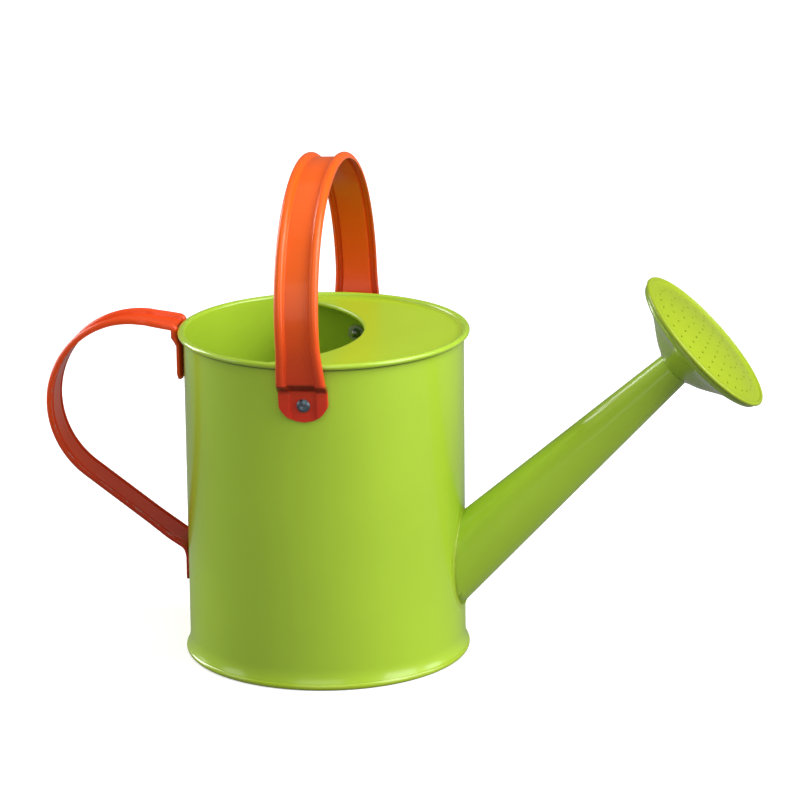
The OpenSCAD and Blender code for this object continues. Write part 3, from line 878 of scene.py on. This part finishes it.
def make_rear_handle():
    """The fixed strap: a tab low on the can, a straight run, a round loop and a fold under the rim."""
    outer = CAN_R + STRAP_T
    start_x = CAN_R + REAR_RUN_GAP
    low_box = box_mm("rear_handle")[0]
    tab_low = low_box[2]
    loop_left = -low_box[0] - BEAD_R
    back_x = CAN_R + REAR_FOLD_GAP
    corner_z = REAR_RUN_Z - (start_x - outer) * math.tan(REAR_ANGLE)
    centre_x = loop_left - REAR_R
    run = (centre_x - start_x + REAR_R * math.sin(REAR_ANGLE)) / math.cos(REAR_ANGLE)
    centre_z = REAR_RUN_Z + run * math.sin(REAR_ANGLE) + REAR_R * math.cos(REAR_ANGLE)
    centre = Vector((centre_x, centre_z))
    end = centre + REAR_R * Vector((-math.sin(REAR_END_SLOPE), math.cos(REAR_END_SLOPE)))
    loop_start = centre + REAR_R * Vector((math.sin(REAR_ANGLE), -math.cos(REAR_ANGLE)))
    top_z = end.y - (end.x - back_x) * math.tan(REAR_END_SLOPE)
    joggle_z = CAN_TOP - 8.0

    lower = rounded_path([(outer, tab_low, 0), (outer, corner_z, 3.5), (loop_start.x, loop_start.y, 0)])
    sweep = math.pi - REAR_ANGLE + REAR_END_SLOPE
    loop = arc_stations(centre, REAR_R, REAR_ANGLE - math.pi / 2, sweep, 48)[1:-1]
    upper = rounded_path([
        (end.x, end.y, 0), (back_x, top_z, 1.3), (back_x, CAN_TOP - 4.8, 1.2), (outer, joggle_z, 1.2),
        (outer, REAR_TAB_Z, 0),
    ], 0.8)
    stations = lower + loop + upper
    first_of_upper = len(lower) + len(loop)
    widens_from = first_of_upper - 12
    blunt = 4.5

    def place(x, y, across):
        return Vector((-x, across, y))

    def shape(k):
        spot = stations[k][0]
        if k < first_of_upper:
            on_strap = ease(spot.y, corner_z - 2, corner_z + 7)
            wide = 1 - ease(spot.y, corner_z, corner_z + 14)
            if k > widens_from:
                wide = ease(k, widens_from, first_of_upper + 4)
            hug = 1 - ease(spot.y, corner_z - 5, corner_z + 0.5)
            from_end = spot.y - tab_low
        else:
            on_strap = ease(spot.y, joggle_z + 0.3, joggle_z + 3.4)
            wide = 1.0 if spot.x < back_x + 2 else ease(k, widens_from, first_of_upper + 12)
            hug = 1 - ease(spot.y, joggle_z, joggle_z + 3.0)
            from_end = spot.y - REAR_TAB_Z + 0.02
        half_w = STRAP_W / 2 + (TAB_W - STRAP_W) / 2 * wide
        bead_w = 2 * BEAD_R + TAB_BEAD_SPREAD * (1 - on_strap)
        bead_h = REAR_TAB_BEAD_H + (BEAD_R - REAR_TAB_BEAD_H) * on_strap
        return half_w, bead_w, bead_h, on_strap, tab_chord(from_end + blunt), hug

    piece = finish_piece(
        "rear_handle_strap", strap_mesh(stations, shape, place), "orange_rear_handle", "can",
        ["rear_handle"], 50,
    )
    for node in ("rear_rivet_upper", "rear_rivet_lower"):
        cut_with(piece, rod(RIVET_R, 60, 72, rear_place(node), 24))


# ---- rivets ----


def make_rivet(name, nodes, place, direction):
    """A blind rivet with a low domed flange, a rounded lip and its swollen inner end."""
    rivet, washer, mandrel = nodes
    low, high = axis_range(rivet, direction)
    washer_low, washer_high = axis_range(washer, direction)
    bore, washer_r = 0.9, 3.8
    head = high - RIVET_HEAD_H
    dome = [
        (bore, high - 0.55), (bore + 0.08, high - 0.25), (bore + 0.28, high - 0.08), (bore + 0.55, high),
        (1.75, high - 0.08), (2.2, high - 0.28), (2.6, high - 0.58), (RIVET_HEAD_R - 0.15, high - 0.92),
    ]
    lip = arc((RIVET_HEAD_R - 0.18, head + 0.2), 0.18, 60, -90, 6)
    shank = [(RIVET_R + 0.1, head + 0.01), (RIVET_R, head - 0.1), (RIVET_R, washer_low + 0.02)]
    swell = [(2.2, washer_low - 0.02), (2.38, washer_low - 0.4), (2.3, low + 0.6), (1.7, low), (bore, low)]
    finish_piece(name, lathe(dome + lip + shank + swell, 48, place), "zinc_rivet", "can", [rivet], 40)
    ring = [
        (RIVET_R, washer_low), (washer_r - 0.15, washer_low), (washer_r, washer_low + 0.15),
        (washer_r, washer_high - 0.15), (washer_r - 0.15, washer_high), (RIVET_R, washer_high),
    ]
    finish_piece(name + "_washer", lathe(ring, 64, place), "zinc_washer", "can", [washer], 30)
    m_low, m_high = axis_range(mandrel, direction)
    stub = [
        (0.0, m_low), (1.1, m_low + 0.05), (1.7, m_low + 0.5), (1.75, low - 0.02), (0.86, low),
        (0.86, m_high - 0.1), (0.66, m_high + 0.02), (0.35, m_high - 0.16), (0.0, m_high - 0.05),
    ]
    finish_piece(name + "_mandrel", lathe(stub, 40, place), "steel_mandrel", "can", [mandrel], 35)


def make_rivets():
    for side, word in ((-1, "near"), (1, "far")):
        nodes = [f"pivot_{part}_{word}" for part in ("rivet", "washer", "mandrel")]
        make_rivet(f"pivot_{word}", nodes, PIVOT_PLACES[side], (0, side, 0))
    for word in ("upper", "lower"):
        nodes = [f"rear_{part}_{word}" for part in ("rivet", "washer", "mandrel")]
        make_rivet(f"rear_{word}", nodes, rear_place(nodes[0]), (-1, 0, 0))


# ---- stage ----

CAN_MIDDLE = Vector((0.02, 0, 0.11))
AMBIENT = 0.30
MIRRORED = 0.14
# each light's place and size in metres, and its power in watts
LIGHTS = {
    "overhead": ((0.05, 0.10, 1.40), (1.3, 1.3), 2.4),
    "right": ((1.23, -0.45, 0.50), (0.7, 1.0), 8.3),
    "front": ((0.10, -1.40, 0.60), (1.0, 0.8), 3.3),
    "left": ((-1.25, -0.45, 0.50), (0.5, 1.0), 3.0),
    "left_back": ((-1.15, 0.50, 0.50), (0.5, 1.0), 12.5),
    "right_back": ((1.25, 0.25, 0.50), (0.4, 1.0), 5.0),
    "high_front": ((0.20, -0.90, 1.20), (0.9, 0.9), 3.1),
    "high_right": ((1.00, -0.10, 1.10), (0.9, 0.9), 13.3),
}


def area_light(name, spot, size, power):
    """A rectangular softbox that faces the middle of the can."""
    light = bpy.data.lights.new(name, "AREA")
    light.shape = "RECTANGLE"
    light.size, light.size_y = size
    light.energy = power
    lamp = bpy.data.objects.new(name, light)
    lamp.location = spot
    toward = CAN_MIDDLE - Vector(spot)
    lamp.rotation_euler = toward.to_track_quat("-Z", "Y").to_euler()
    bpy.context.scene.collection.objects.link(lamp)


def make_floor():
    """A pale floor, which shows white to the camera and throws only a little light back."""
    half = 8.0
    mesh = bpy.data.meshes.new("floor")
    mesh.from_pydata(
        [(-half, -half, 0), (half, -half, 0), (half, half, 0), (-half, half, 0)], [], [(0, 1, 2, 3)]
    )
    floor = bpy.data.objects.new("floor", mesh)
    bpy.context.scene.collection.objects.link(floor)
    material, tree, shader = node_tree("floor_white")
    coords = tree.nodes.new("ShaderNodeTexCoord").outputs["Object"]
    seen = blend_colors(tree, noise(tree, coords, 3, 2), (0.80, 0.80, 0.80), (0.82, 0.82, 0.82))
    path = tree.nodes.new("ShaderNodeLightPath")
    tone = blend_colors(tree, path.outputs["Is Camera Ray"], (0.12, 0.12, 0.12), seen)
    tree.links.new(tone, shader.inputs["Base Color"])
    shader.inputs["Roughness"].default_value = 0.9
    shader.inputs["Specular IOR Level"].default_value = 0.0
    distance = tree.nodes.new("ShaderNodeVectorMath")
    distance.operation = "LENGTH"
    tree.links.new(coords, distance.inputs[0])
    dim_to, full_from, near_glow = 0.7, 1.5, 0.42
    glow = remap(tree, distance.outputs["Value"], dim_to, full_from, near_glow, 1.0)
    shown = multiply(tree, path.outputs["Is Camera Ray"], glow)
    mirrored = remap(tree, path.outputs["Is Glossy Ray"], 0, 1, 0, MIRRORED)
    both = tree.nodes.new("ShaderNodeMath")
    tree.links.new(shown, both.inputs[0])
    tree.links.new(mirrored, both.inputs[1])
    tree.links.new(both.outputs["Value"], shader.inputs["Emission Strength"])
    shader.inputs["Emission Color"].default_value = (1, 1, 1, 1)
    mesh.materials.append(material)


def make_surround():
    """White all round to the camera, but a dim grey in reflections and as ambient light."""
    world = bpy.data.worlds.new("surround")
    world.use_nodes = True
    tree = world.node_tree
    sky = tree.nodes["Background"]
    path = tree.nodes.new("ShaderNodeLightPath")
    shine = blend_colors(
        tree, path.outputs["Is Glossy Ray"], (AMBIENT, AMBIENT, AMBIENT), (MIRRORED, MIRRORED, MIRRORED)
    )
    seen = blend_colors(tree, path.outputs["Is Camera Ray"], shine, (1.0, 1.0, 1.0))
    tree.links.new(seen, sky.inputs["Color"])
    bpy.context.scene.world = world


def make_stage():
    make_floor()
    make_surround()
    for name, (spot, size, power) in LIGHTS.items():
        area_light(name, spot, size, power)


def make_camera():
    """The camera looks a little down on the can from in front and slightly from the spout's side."""
    azimuth, elevation, roll = math.radians(10.0), math.radians(15.735), math.radians(-0.596)
    distance, aim_x, aim_z = 1.8741, 0.03503, 0.11940
    camera = bpy.data.cameras.new("camera")
    camera.sensor_width, camera.lens = 36, 181.179
    camera.clip_start, camera.clip_end = 0.05, 50
    holder = bpy.data.objects.new("camera", camera)
    bpy.context.scene.collection.objects.link(holder)
    right = Vector((math.cos(azimuth), math.sin(azimuth), 0))
    level = math.cos(elevation)
    back = Vector((math.sin(azimuth) * level, -math.cos(azimuth) * level, math.sin(elevation)))
    up = back.cross(right)
    side = right * math.cos(roll) + up * math.sin(roll)
    over = up * math.cos(roll) - right * math.sin(roll)
    turned = Matrix((side, over, back)).transposed().to_4x4()
    target = right * aim_x + Vector((0, 0, aim_z))
    holder.matrix_world = Matrix.Translation(target + back * distance) @ turned
    bpy.context.scene.camera = holder


# ---- build ----

make_camera()
make_stage()
bpy.context.scene.view_settings.view_transform = "Standard"

slots = {part["node"]: part["material_slot"] for part in frame["record"]["subparts"]}
for node_name, cad_object in NODES.items():
    cad_object.data.materials.clear()
    cad_object.data.materials.append(MATERIALS[slots[node_name]])

make_body()
make_base()
make_cover()
make_spout()
make_weld()
make_bell()
make_face()
make_top_handle()
make_rear_handle()
make_rivets()
